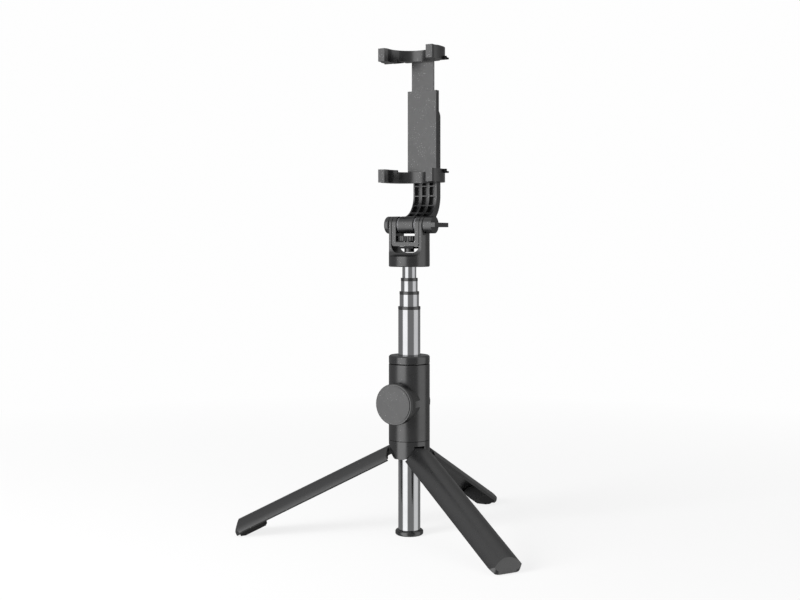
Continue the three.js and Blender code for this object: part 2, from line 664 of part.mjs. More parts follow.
function headFork() {
  const round = EDGE_ROUND / 2;
  const body = turned([
    [0, HEAD_BOTTOM], [COLLAR_RADIUS - round, HEAD_BOTTOM], [COLLAR_RADIUS, HEAD_BOTTOM + round],
    [COLLAR_RADIUS, BARREL_HEIGHT + BARREL_RADIUS], [0, BARREL_HEIGHT + BARREL_RADIUS],
  ], FINE);
  const slot = roundedSlot(SLOT_HALF_WIDTH, SLOT_FLOOR, BARREL_HEIGHT + FAR, SLOT_ROUND);
  const spot = HEAD_BOTTOM + BARREL_RISE - BARREL_RADIUS - SPOT_MARGIN;
  const spotFaces = [-1, 1].map((side) => {
    const [low, high] = side > 0 ? [SPOT_FACE, FAR] : [-FAR, -SPOT_FACE];
    return block([low, -FAR, spot], [high, FAR, BARREL_HEIGHT + FAR]);
  });
  const socketTop = HEAD_BOTTOM + SOCKET_DEPTH;
  const socket = rod(tubeRadius(TUBE_COUNT - 1) + SLIDE_GAP, HEAD_BOTTOM - PAST, socketTop, FINE);
  const well = rod(SCREW_HEAD_RADIUS + SEAM_GAP, SLOT_FLOOR - SCREW_WELL, SLOT_FLOOR + PAST);
  const hole = rod(SCREW_SHANK_RADIUS + TURN_GAP, HEAD_BOTTOM, SLOT_FLOOR);
  const axleHole = rodAlongX(AXLE_RADIUS + TURN_GAP, -FAR, FAR, 0, BARREL_HEIGHT);
  const openings = [scoop(1), scoop(-1), drawnAlongY(slot, -FAR, FAR), ...spotFaces];
  return cut(body.intersect(roundTop(COLLAR_RADIUS)), [...openings, socket, well, hole, axleHole]);
}

function panScrew() {
  const under = SLOT_FLOOR - SCREW_WELL + SLIDE_GAP;
  const end = PLUG_TOP - PLUG_HEIGHT + SCREW_TIP;
  return turned([
    [0, end], [SCREW_SHANK_RADIUS, end], [SCREW_SHANK_RADIUS, under], [SCREW_HEAD_RADIUS, under],
    [SCREW_HEAD_RADIUS, SLOT_FLOOR - SEAM_GAP], [0, SLOT_FLOOR - SEAM_GAP],
  ], PLAIN);
}

function tubePlug() {
  const bore = SCREW_SHANK_RADIUS + TURN_GAP;
  return ringBody(bore, boreRadius(TUBE_COUNT - 1) - PRESS_GAP, PLUG_TOP - PLUG_HEIGHT, PLUG_TOP, PLAIN);
}

function pivotCap() {
  const cap = rodAlongX(BARREL_RADIUS, -CAP_END, -SPOT_FACE - SEAM_GAP, 0, BARREL_HEIGHT, ROUND);
  return cap.subtract(rodAlongX(AXLE_RADIUS + TURN_GAP, AXLE_COVER - CAP_END, 0, 0, BARREL_HEIGHT));
}

function lockLever() {
  const knob = rodAlongX(KNOB_RADIUS, SPOT_FACE + SEAM_GAP, KNOB_END, 0, BARREL_HEIGHT, ROUND);
  const half = LEVER_THICKNESS / 2;
  const low = [SPOT_FACE + 2 * SEAM_GAP, -KNOB_RADIUS, BARREL_HEIGHT - half];
  const blade = block(low, [LEVER_END, LEVER_REACH, BARREL_HEIGHT + half]);
  const hole = rodAlongX(AXLE_RADIUS + TURN_GAP, 0, KNOB_END - AXLE_COVER, 0, BARREL_HEIGHT);
  return knob.add(blade).subtract(hole);
}

function tiltWasher(side) {
  const [from, to] = [KNUCKLE_HALF + TURN_GAP, YOKE_WINDOW - TURN_GAP];
  const [low, high] = side > 0 ? [from, to] : [-to, -from];
  const disc = rodAlongX(WASHER_RADIUS, low, high, 0, BARREL_HEIGHT);
  return disc.subtract(rodAlongX(AXLE_RADIUS + TURN_GAP, low - PAST, high + PAST, 0, BARREL_HEIGHT));
}

function addHead() {
  piece('head_fork', headFork(), blackPlastic);
  piece('pan_screw', panScrew(), steel);
  piece('tube_plug', tubePlug(), nylon);
  const end = AXLE_COVER + SEAM_GAP;
  const axle = rodAlongX(AXLE_RADIUS, end - CAP_END, KNOB_END - end, 0, BARREL_HEIGHT);
  piece('tilt_axle', axle, steel);
  piece('pivot_cap', pivotCap(), glossPlastic);
  piece('lock_lever', lockLever(), glossPlastic);
  piece('tilt_washer_left', tiltWasher(-1), nylon);
  piece('tilt_washer_right', tiltWasher(1), nylon);
}

// Camera yoke: it hangs in the fork and flips up to bring the camera screw to the top

const YOKE_HALF_DEPTH = SLAB_HALF - SLIDE_GAP;

function cameraYoke() {
  const bottom = BARREL_HEIGHT - YOKE_BAR_BOTTOM;
  const outline = roundedSlot(YOKE_HALF_WIDTH, bottom, BARREL_HEIGHT + BARREL_RADIUS, YOKE_ROUND);
  const frame = drawnAlongY(outline, -YOKE_HALF_DEPTH, YOKE_HALF_DEPTH).intersect(roundTop(YOKE_HALF_WIDTH));
  const barTop = BARREL_HEIGHT - YOKE_BAR_TOP;
  const window = block([-YOKE_WINDOW, -FAR, barTop], [YOKE_WINDOW, FAR, BARREL_HEIGHT + FAR]);
  const wheelLow = BARREL_HEIGHT - WHEEL_TOP - WHEEL_HEIGHT - SEAM_GAP;
  const recess = rod(WHEEL_RADIUS + SEAM_GAP, wheelLow, wheelLow + WHEEL_HEIGHT + 2 * SEAM_GAP, FINE);
  const studHole = rod(STUD_RADIUS + TURN_GAP, bottom - PAST, BARREL_HEIGHT - WHEEL_TOP);
  const axleHole = rodAlongX(AXLE_RADIUS + TURN_GAP, -FAR, FAR, 0, BARREL_HEIGHT);
  return cut(frame, [window, recess, studHole, axleHole]);
}

function knurledOutline(radius, teeth, depth) {
  const points = [];
  for (let i = 0; i < 2 * teeth; i++) {
    const angle = (i * Math.PI) / teeth;
    const reach = i % 2 ? radius : radius - depth;
    points.push([reach * Math.cos(angle), reach * Math.sin(angle)]);
  }
  return polygon(points);
}

function cameraScrew() {
  const wheelTop = BARREL_HEIGHT - WHEEL_TOP;
  const outline = knurledOutline(WHEEL_RADIUS, WHEEL_TEETH, WHEEL_GROOVE);
  const wheel = raised(outline, wheelTop - WHEEL_HEIGHT, wheelTop);
  return wheel.add(rod(STUD_RADIUS, BARREL_HEIGHT - STUD_END, wheelTop - WHEEL_HEIGHT / 2));
}

function cameraPad() {
  const top = BARREL_HEIGHT - YOKE_BAR_BOTTOM - TURN_GAP;
  const low = [-PAD_HALF_WIDTH, -PAD_HALF_DEPTH, top - PAD_THICKNESS];
  const slab = block(low, [PAD_HALF_WIDTH, PAD_HALF_DEPTH, top]);
  return slab.subtract(rod(STUD_RADIUS + TURN_GAP, top - FAR, top + PAST));
}

function addYoke() {
  piece('camera_yoke', cameraYoke(), glossPlastic);
  piece('camera_pad', cameraPad(), rubber);
  piece('camera_screw', cameraScrew(), glossPlastic);
}

// Tilting arm: a ribbed bend from the barrel, back and up behind the phone

function armBend(innerRadius, outerRadius) {
  const [y, z] = [ARM_BEND_Y, BARREL_HEIGHT + ARM_BEND_RISE];
  const shape = new THREE.Shape();
  shape.moveTo(y + outerRadius, SWIVEL_HEIGHT);
  shape.lineTo(y + innerRadius, SWIVEL_HEIGHT);
  shape.absarc(y, z, innerRadius, 0, -Math.PI / 2, true);
  shape.absarc(y, z, outerRadius, -Math.PI / 2, 0, false);
  shape.closePath();
  return shape;
}

// Pockets between the ribs on the arm's front: rows follow the bend, then the straight part.
function armPockets() {
  const depth = ARM_INNER_RADIUS + ARM_POCKET_DEPTH;
  const band = armBend(ARM_INNER_RADIUS - PAST, depth);
  const rows = drawnAlongX(band, -ARM_HALF_WIDTH, ARM_HALF_WIDTH);
  const bendAngle = THREE.MathUtils.radToDeg(ARM_ROW_PITCH / ARM_INNER_RADIUS);
  const ribs = [];
  const centre = [0, ARM_BEND_Y, BARREL_HEIGHT + ARM_BEND_RISE];
  for (let angle = 0; angle > -ARM_LAST_RIB; angle -= bendAngle) {
    const rib = block([-FAR, 0, -ARM_ROW_RIB / 2], [FAR, FAR, ARM_ROW_RIB / 2]);
    ribs.push(rib.rotate([angle, 0, 0]).translate(centre));
  }
  for (let z = centre[2] + ARM_ROW_PITCH; z < SWIVEL_HEIGHT - ARM_HALF_WIDTH; z += ARM_ROW_PITCH) {
    ribs.push(block([-FAR, 0, z - ARM_ROW_RIB / 2], [FAR, FAR, z + ARM_ROW_RIB / 2]));
  }
  const start = block([-FAR, -FAR, 0], [FAR, ARM_START + ARM_RIB, SKY]);
  const head = block([-FAR, -FAR, SWIVEL_HEIGHT - ARM_HALF_WIDTH], [FAR, FAR, SKY]);
  const clear = (2 * ARM_HALF_WIDTH - (ARM_COLUMNS + 1) * ARM_RIB) / ARM_COLUMNS;
  const columns = [];
  for (let i = 0; i < ARM_COLUMNS; i++) {
    const low = -ARM_HALF_WIDTH + ARM_RIB + i * (clear + ARM_RIB);
    columns.push(block([low, -FAR, 0], [low + clear, FAR, SKY]));
  }
  return cut(rows, [...ribs, start, head]).intersect(joined(columns));
}

function tiltArm() {
  const outer = ARM_INNER_RADIUS + ARM_THICKNESS;
  const bend = drawnAlongX(armBend(ARM_INNER_RADIUS, outer), -ARM_HALF_WIDTH, ARM_HALF_WIDTH, ARC_FINE);
  const wide = bend.subtract(block([-FAR, -FAR, 0], [FAR, ARM_START, SKY]));
  const head = rodAlongY(ARM_HALF_WIDTH, ARM_FRONT, ARM_BACK, 0, SWIVEL_HEIGHT, ROUND);
  const webLow = BARREL_HEIGHT + ARM_BEND_RISE - outer;
  const webHigh = BARREL_HEIGHT + ARM_BEND_RISE - ARM_INNER_RADIUS;
  const webEnd = [KNUCKLE_HALF, ARM_START + PAST, webHigh - WEB_INSET];
  const web = block([-KNUCKLE_HALF, 0, webLow + WEB_INSET], webEnd);
  const knuckle = rodAlongX(BARREL_RADIUS, -KNUCKLE_HALF, KNUCKLE_HALF, 0, BARREL_HEIGHT, ROUND);
  const axleHole = rodAlongX(AXLE_RADIUS + TURN_GAP, -FAR, FAR, 0, BARREL_HEIGHT);
  const swivelHole = rodAlongY(SWIVEL_RADIUS + TURN_GAP, 0, FAR, 0, SWIVEL_HEIGHT, SMALL);
  const headWell = rodAlongY(SWIVEL_HEAD_RADIUS + SEAM_GAP, ARM_BACK - SWIVEL_WELL, FAR, 0, SWIVEL_HEIGHT);
  return cut(joined([wide, head, web, knuckle]), [armPockets(), axleHole, swivelHole, headWell]);
}

function swivelScrew() {
  const [inner, outer] = [SPINE_BACK - COVER_THICKNESS + SLIDE_GAP, ARM_BACK - 2 * SLIDE_GAP];
  const under = ARM_BACK - SWIVEL_WELL + SLIDE_GAP;
  const shank = rodAlongY(SWIVEL_RADIUS, inner, under + SLIDE_GAP, 0, SWIVEL_HEIGHT, SMALL);
  return shank.add(rodAlongY(SWIVEL_HEAD_RADIUS, under, outer, 0, SWIVEL_HEIGHT));
}

// Phone clamp: crescent jaws that fit round the folded stick, a spine with the spring slide, rubber grips

function jawOutline() {
  const shape = new THREE.Shape();
  const arcStart = Math.asin(JAW_ARC_START / JAW_ARC_RADIUS);
  const side = JAW_HORN_OUTER + JAW_SIDE_STEP;
  const corner = JAW_HORN_INNER - JAW_CORNER;
  const shoulder = JAW_BACK - 2 * JAW_CORNER;
  const bend = JAW_HORN_OUTER - JAW_TAPER;
  shape.moveTo(JAW_HORN_INNER, JAW_FRONT);
  shape.lineTo(JAW_HORN_OUTER, JAW_FRONT);
  shape.lineTo(JAW_HORN_OUTER, JAW_FRONT + JAW_STEP_START);
  shape.lineTo(side, JAW_FRONT + JAW_STEP_END);
  shape.lineTo(side, shoulder);
  shape.quadraticCurveTo(bend, JAW_BACK, corner, JAW_BACK);
  shape.lineTo(-corner, JAW_BACK);
  shape.quadraticCurveTo(-bend, JAW_BACK, -side, shoulder);
  shape.lineTo(-side, JAW_FRONT + JAW_STEP_END);
  shape.lineTo(-JAW_HORN_OUTER, JAW_FRONT + JAW_STEP_START);
  shape.lineTo(-JAW_HORN_OUTER, JAW_FRONT);
  shape.lineTo(-JAW_HORN_INNER, JAW_FRONT);
  shape.absarc(0, 0, JAW_ARC_RADIUS, Math.PI - arcStart, arcStart, true);
  shape.closePath();
  return shape;
}

// What a jaw leaves free for the phone and the two grips: side is 1 under the phone and -1 over it.
function phoneRoom(contact, side) {
  const seat = contact - side * (GRIP_PAD + SEAM_GAP);
  const middle = contact - side * TURN_GAP;
  const front = PHONE_FRONT - GRIP_PAD - SEAM_GAP;
  const inner = GRIP_INNER - SEAM_GAP;
  const room = (from, to, face) => {
    const [low, high] = side > 0 ? [face, face + FAR] : [face - FAR, face];
    return block([from, front, low], [to, FAR, high]);
  };
  return [room(-FAR, -inner, seat), room(-inner, inner, middle), room(inner, FAR, seat)];
}

// One rubber grip: a pad on the jaw and a lip, a little wider, in front of the phone's edge.
function grip(contact, side, x) {
  const back = contact - side * GRIP_PAD;
  const lip = contact + side * GRIP_LIP;
  const front = PHONE_FRONT - GRIP_PAD;
  const slab = (reach, depth, face) => {
    const [from, to] = x > 0 ? [GRIP_INNER, reach] : [-reach, -GRIP_INNER];
    return block([from, front, Math.min(back, face)], [to, depth, Math.max(back, face)]);
  };
  return slab(GRIP_OUTER, GRIP_BACK, contact).add(slab(GRIP_LIP_OUTER, PHONE_FRONT, lip));
}

function clampFrame() {
  const top = LOWER_JAW_BOTTOM + JAW_HEIGHT;
  const jaw = cut(raised(jawOutline(), LOWER_JAW_BOTTOM, top), phoneRoom(LOWER_GRIP, 1));
  const spineLow = [-SPINE_HALF_WIDTH, SPINE_FRONT, LOWER_JAW_BOTTOM + SPINE_LIFT];
  const spine = block(spineLow, [SPINE_HALF_WIDTH, SPINE_BACK, SPINE_TOP]);
  const pocketLow = [-POCKET_HALF_WIDTH, SPINE_FRONT + SPINE_SKIN, top];
  const pocket = block(pocketLow, [POCKET_HALF_WIDTH, FAR, SPINE_TOP + PAST]);
  return jaw.add(spine).subtract(pocket);
}

function spineCover() {
  const half = POCKET_HALF_WIDTH - SEAM_GAP;
  const low = [-half, SPINE_BACK - COVER_THICKNESS, LOWER_JAW_BOTTOM + JAW_HEIGHT + SEAM_GAP];
  const hole = rodAlongY(SWIVEL_RADIUS + TURN_GAP, 0, FAR, 0, SWIVEL_HEIGHT, SMALL);
  return block(low, [half, SPINE_BACK, SPINE_TOP]).subtract(hole);
}

const TONGUE_FRONT = SPINE_FRONT + SPINE_SKIN + TURN_GAP;
const SPRING_TOP = SPINE_TOP - SPRING_HEAD;
const SPRING_BOTTOM = LOWER_JAW_BOTTOM + JAW_HEIGHT + SPRING_FOOT;

function upperJaw() {
  const bottom = UPPER_JAW_BOTTOM;
  const seat = UPPER_GRIP + GRIP_PAD + SEAM_GAP;
  const jaw = cut(raised(jawOutline(), bottom, bottom + JAW_HEIGHT), phoneRoom(UPPER_GRIP, -1));
  const half = POCKET_HALF_WIDTH - SEAM_GAP;
  const tongueBack = TONGUE_FRONT + TONGUE_THICKNESS;
  const tongue = block([-half, TONGUE_FRONT, seat - TONGUE_DROP], [half, tongueBack, seat + PAST]);
  const slots = [-1, 1].map((side) => {
    const x = side * SPRING_PLACE;
    const reach = SPRING_RADIUS + SPRING_WIRE + SEAM_GAP;
    return block([x - reach, 0, 0], [x + reach, tongueBack + PAST, SPRING_TOP + PAST]);
  });
  return jaw.add(cut(tongue, slots));
}

class CoilCurve extends THREE.Curve {
  constructor(x, y, low, high) {
    super();
    this.place = [x, y, low, high];
  }

  getPoint(t, target = new THREE.Vector3()) {
    const [x, y, low, high] = this.place;
    const angle = 2 * Math.PI * SPRING_TURNS * t;
    const round = [SPRING_RADIUS * Math.cos(angle), SPRING_RADIUS * Math.sin(angle)];
    return target.set(x + round[0], y + round[1], low + (high - low) * t);
  }
}

function clampSpring(side) {
  const y = TONGUE_FRONT + TONGUE_THICKNESS / 2 + SLIDE_GAP;
  const path = new CoilCurve(side * SPRING_PLACE, y, SPRING_BOTTOM, SPRING_TOP);
  const section = new THREE.Shape().absarc(0, 0, SPRING_WIRE, 0, 2 * Math.PI, false);
  const steps = SPRING_STEPS * SPRING_TURNS;
  const options = { steps, extrudePath: path, curveSegments: 2, bevelEnabled: false };
  return solid(new THREE.ExtrudeGeometry(section, options));
}

function addClamp() {
  piece('tilt_arm', tiltArm(), blackPlastic);
  piece('swivel_screw', swivelScrew(), steel);
  piece('clamp_frame', clampFrame(), blackPlastic);
  piece('spine_cover', spineCover(), blackPlastic);
  piece('upper_jaw', upperJaw(), blackPlastic);
  piece('lower_grip_left', grip(LOWER_GRIP, 1, -1), rubber);
  piece('lower_grip_right', grip(LOWER_GRIP, 1, 1), rubber);
  piece('upper_grip_left', grip(UPPER_GRIP, -1, -1), rubber);
  piece('upper_grip_right', grip(UPPER_GRIP, -1, 1), rubber);
  piece('clamp_spring_left', clampSpring(-1), steel);
  piece('clamp_spring_right', clampSpring(1), steel);
}

piece('collar_sleeve', sleeve(), blackPlastic);
piece('collar_cap', topCap(), glossPlastic);
piece('leg_hub', legHub(), glossPlastic);
piece('slide_bush', bush(), nylon);
LEG_AZIMUTHS.forEach((azimuth, i) => addLeg(azimuth, i));
addRemote();
addTubes();
addHead();
addYoke();
addClamp();

export default model;
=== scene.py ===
from math import cos, pi, radians, sin

import bpy
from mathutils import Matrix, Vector


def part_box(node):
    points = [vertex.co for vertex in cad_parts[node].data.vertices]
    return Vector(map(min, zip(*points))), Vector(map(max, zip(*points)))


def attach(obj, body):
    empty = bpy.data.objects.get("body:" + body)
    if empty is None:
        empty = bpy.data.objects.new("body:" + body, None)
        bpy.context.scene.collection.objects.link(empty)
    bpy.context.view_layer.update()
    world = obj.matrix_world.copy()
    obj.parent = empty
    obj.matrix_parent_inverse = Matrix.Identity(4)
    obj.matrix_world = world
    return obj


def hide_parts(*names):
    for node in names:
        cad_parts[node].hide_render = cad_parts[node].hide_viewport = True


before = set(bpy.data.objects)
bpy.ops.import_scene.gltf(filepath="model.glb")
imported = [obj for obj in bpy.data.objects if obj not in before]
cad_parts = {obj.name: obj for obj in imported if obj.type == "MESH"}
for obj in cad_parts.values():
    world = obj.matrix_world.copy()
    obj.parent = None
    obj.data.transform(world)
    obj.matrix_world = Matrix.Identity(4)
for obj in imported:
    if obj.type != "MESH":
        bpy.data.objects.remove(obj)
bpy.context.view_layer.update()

MM = 0.001

# The set: a plain pale floor and a bright white room with soft boxes to the left and right of a level camera.
# The camera stands a little left of the stick and looks at its front from thirty degrees to the right.
CAMERA_AZIMUTH = radians(30)
CAMERA_DISTANCE = 781 * MM
CAMERA_HEIGHT = 186.6 * MM
CAMERA_SIDESTEP = 5.9 * MM
LENS_SHIFT = -0.075
LENS = 55.4
toward_camera = Vector((sin(CAMERA_AZIMUTH), -cos(CAMERA_AZIMUTH), 0))
to_the_right = Vector((cos(CAMERA_AZIMUTH), sin(CAMERA_AZIMUTH), 0))

camera = bpy.data.objects.new("camera", bpy.data.cameras.new("camera"))
bpy.context.scene.collection.objects.link(camera)
camera.location = toward_camera * CAMERA_DISTANCE - to_the_right * CAMERA_SIDESTEP + Vector((0, 0, CAMERA_HEIGHT))
camera.rotation_euler = (pi / 2, 0, CAMERA_AZIMUTH)
camera.data.lens = LENS
camera.data.sensor_width = 36
camera.data.shift_y = LENS_SHIFT
camera.data.clip_start = 0.01
camera.data.clip_end = 100
bpy.context.scene.camera = camera
bpy.context.scene.view_settings.view_transform = "Standard"

bpy.ops.object.select_all(action="DESELECT")
bpy.ops.mesh.primitive_plane_add(size=80, location=(0, 0, 0))
floor = bpy.context.object
floor.name = "floor"
floor.visible_glossy = False
STUDIO_WHITE = (0.99, 0.99, 0.99, 1)
FLOOR_PAINT = (0.92, 0.92, 0.92, 1)
FLOOR_BOUNCE = (0.22, 0.22, 0.22, 1)
SHADOW_FULL = 0.15  # how far from the stick the shadows start to fade, in metres
SHADOW_END = 0.70
SHADOW_SHARE = 0.16


def pale_floor():
    """A matt floor that the camera sees as part of the white room, with only a trace of the shadows."""
    material = bpy.data.materials.new("floor_paint")
    material.use_nodes = True
    tree = material.node_tree
    tree.nodes.clear()
    add, link = tree.nodes.new, tree.links.new
    paint = add("ShaderNodeBsdfDiffuse")
    paint.inputs["Color"].default_value = FLOOR_PAINT
    white = add("ShaderNodeEmission")
    white.inputs["Color"].default_value = STUDIO_WHITE
    lit = add("ShaderNodeMixShader")
    place = add("ShaderNodeTexCoord")
    away = add("ShaderNodeVectorMath")
    away.operation = "LENGTH"
    link(place.outputs["Object"], away.inputs[0])
    fade = add("ShaderNodeMapRange")
    fade.inputs["From Min"].default_value = SHADOW_FULL
    fade.inputs["From Max"].default_value = SHADOW_END
    fade.inputs["To Min"].default_value = SHADOW_SHARE
    fade.inputs["To Max"].default_value = 0
    link(away.outputs["Value"], fade.inputs["Value"])
    link(fade.outputs["Result"], lit.inputs["Fac"])
    link(white.outputs["Emission"], lit.inputs[1])
    link(paint.outputs["BSDF"], lit.inputs[2])
    grey = add("ShaderNodeBsdfDiffuse")
    grey.inputs["Color"].default_value = FLOOR_BOUNCE
    path = add("ShaderNodeLightPath")
    choose = add("ShaderNodeMixShader")
    link(path.outputs["Is Camera Ray"], choose.inputs["Fac"])
    link(grey.outputs["BSDF"], choose.inputs[1])
    link(lit.outputs["Shader"], choose.inputs[2])
    link(choose.outputs["Shader"], add("ShaderNodeOutputMaterial").inputs["Surface"])
    return material


floor.data.materials.append(pale_floor())


# What shiny surfaces see round them: a dim room with a large soft box on the left and a smaller one on the right.
# Each box is its middle and width in degrees to the right of the camera, and its brightness.
SOFT_BOXES = ((-45, 40, 1.3), (75, 40, 0.75))
SOFT_EDGE = 12
ROOM_LEVEL = 0.2
OVERHEAD = (0.40, 0.40, 0.40, 1)
OVERHEAD_START = 0.50  # the upward part of the direction, from 0 level to 1 straight up
OVERHEAD_FULL = 0.90
FILL_STRENGTH = 0.3


def room_light():
    """A white room for the camera; for the object, soft boxes that change with the direction round it."""
    world = bpy.data.worlds.new("studio_room")
    world.use_nodes = True
    bpy.context.scene.world = world
    tree = world.node_tree
    tree.nodes.clear()
    add, link = tree.nodes.new, tree.links.new
    direction = add("ShaderNodeTexCoord")
    turned = add("ShaderNodeVectorRotate")
    turned.rotation_type = "Z_AXIS"
    turned.inputs["Angle"].default_value = pi / 2 - CAMERA_AZIMUTH
    link(direction.outputs["Generated"], turned.inputs["Vector"])
    split = add("ShaderNodeSeparateXYZ")
    link(turned.outputs["Vector"], split.inputs["Vector"])
    around = add("ShaderNodeMath")
    around.operation = "ARCTAN2"
    link(split.outputs["Y"], around.inputs[0])
    link(split.outputs["X"], around.inputs[1])
    share = add("ShaderNodeMapRange")
    share.inputs["From Min"].default_value = -pi
    share.inputs["From Max"].default_value = pi
    link(around.outputs[0], share.inputs["Value"])
    ramp = add("ShaderNodeValToRGB")
    ramp.color_ramp.interpolation = "EASE"
    room = [(-180, ROOM_LEVEL)]
    for middle, width, level in SOFT_BOXES:
        reach = width / 2
        room += [(middle - reach - SOFT_EDGE, ROOM_LEVEL), (middle - reach, level),
                 (middle + reach, level), (middle + reach + SOFT_EDGE, ROOM_LEVEL)]
    room.append((180, ROOM_LEVEL))
    while len(ramp.color_ramp.elements) < len(room):
        ramp.color_ramp.elements.new(0.5)
    for element, (side, level) in zip(ramp.color_ramp.elements, room):
        element.position = (side + 180) / 360
        element.color = (level, level, level, 1)
    link(share.outputs["Result"], ramp.inputs["Fac"])
    height = add("ShaderNodeMapRange")
    height.inputs["From Min"].default_value = OVERHEAD_START
    height.inputs["From Max"].default_value = OVERHEAD_FULL
    link(split.outputs["Z"], height.inputs["Value"])
    overhead = add("ShaderNodeMix")
    overhead.data_type = "RGBA"
    overhead.inputs["B"].default_value = OVERHEAD
    link(height.outputs["Result"], overhead.inputs["Factor"])
    link(ramp.outputs["Color"], overhead.inputs["A"])
    soft = add("ShaderNodeBackground")
    link(overhead.outputs["Result"], soft.inputs["Color"])
    white = add("ShaderNodeBackground")
    white.inputs["Color"].default_value = STUDIO_WHITE
    path = add("ShaderNodeLightPath")
    strength = add("ShaderNodeMapRange")
    strength.inputs["To Min"].default_value = 1
    strength.inputs["To Max"].default_value = FILL_STRENGTH
    link(path.outputs["Is Diffuse Ray"], strength.inputs["Value"])
    link(strength.outputs["Result"], soft.inputs["Strength"])
    choose = add("ShaderNodeMixShader")
    link(path.outputs["Is Camera Ray"], choose.inputs["Fac"])
    link(soft.outputs["Background"], choose.inputs[1])
    link(white.outputs["Background"], choose.inputs[2])
    link(choose.outputs["Shader"], add("ShaderNodeOutputWorld").inputs["Surface"])


room_light()


def soft_box(name, side, distance, height, width, tall, power):
    """A large soft lamp that faces the stick from so many radians to the right of the camera."""
    lamp = bpy.data.objects.new(name, bpy.data.lights.new(name, "AREA"))
    bpy.context.scene.collection.objects.link(lamp)
    place = (toward_camera * cos(side) + to_the_right * sin(side)) * distance
    lamp.location = place + Vector((0, 0, height))
    aim = Vector((0, 0, 0.16)) - lamp.location
    lamp.rotation_euler = aim.to_track_quat("-Z", "Y").to_euler()
    lamp.data.shape = "RECTANGLE"
    lamp.data.size = width
    lamp.data.size_y = tall
    lamp.data.energy = power
    lamp.visible_glossy = False


soft_box("key_box", radians(-54), 1.1, 0.35, 0.45, 0.8, 30)
soft_box("top_box", radians(20), 0.6, 1.5, 1.4, 1.4, 6)

# The collar's grip: a satin black moulded sleeve that slides on the main tube, with a round boss on its front
# that the remote clips to. It is one moulding, so the boss runs into the sleeve with a soft fillet.
SATIN_BLACK = (0.0065, 0.0066, 0.0070)


def select_only(piece):
    bpy.ops.object.select_all(action="DESELECT")
    piece.select_set(True)
    bpy.context.view_layer.objects.active = piece


def texture_space(tree, stretch=(1, 1, 1)):
    """The piece's own coordinates, in metres, with an optional stretch along each axis."""
    place = tree.nodes.new("ShaderNodeTexCoord")
    mapping = tree.nodes.new("ShaderNodeMapping")
    mapping.inputs["Scale"].default_value = stretch
    tree.links.new(place.outputs["Object"], mapping.inputs["Vector"])
    return mapping.outputs["Vector"]


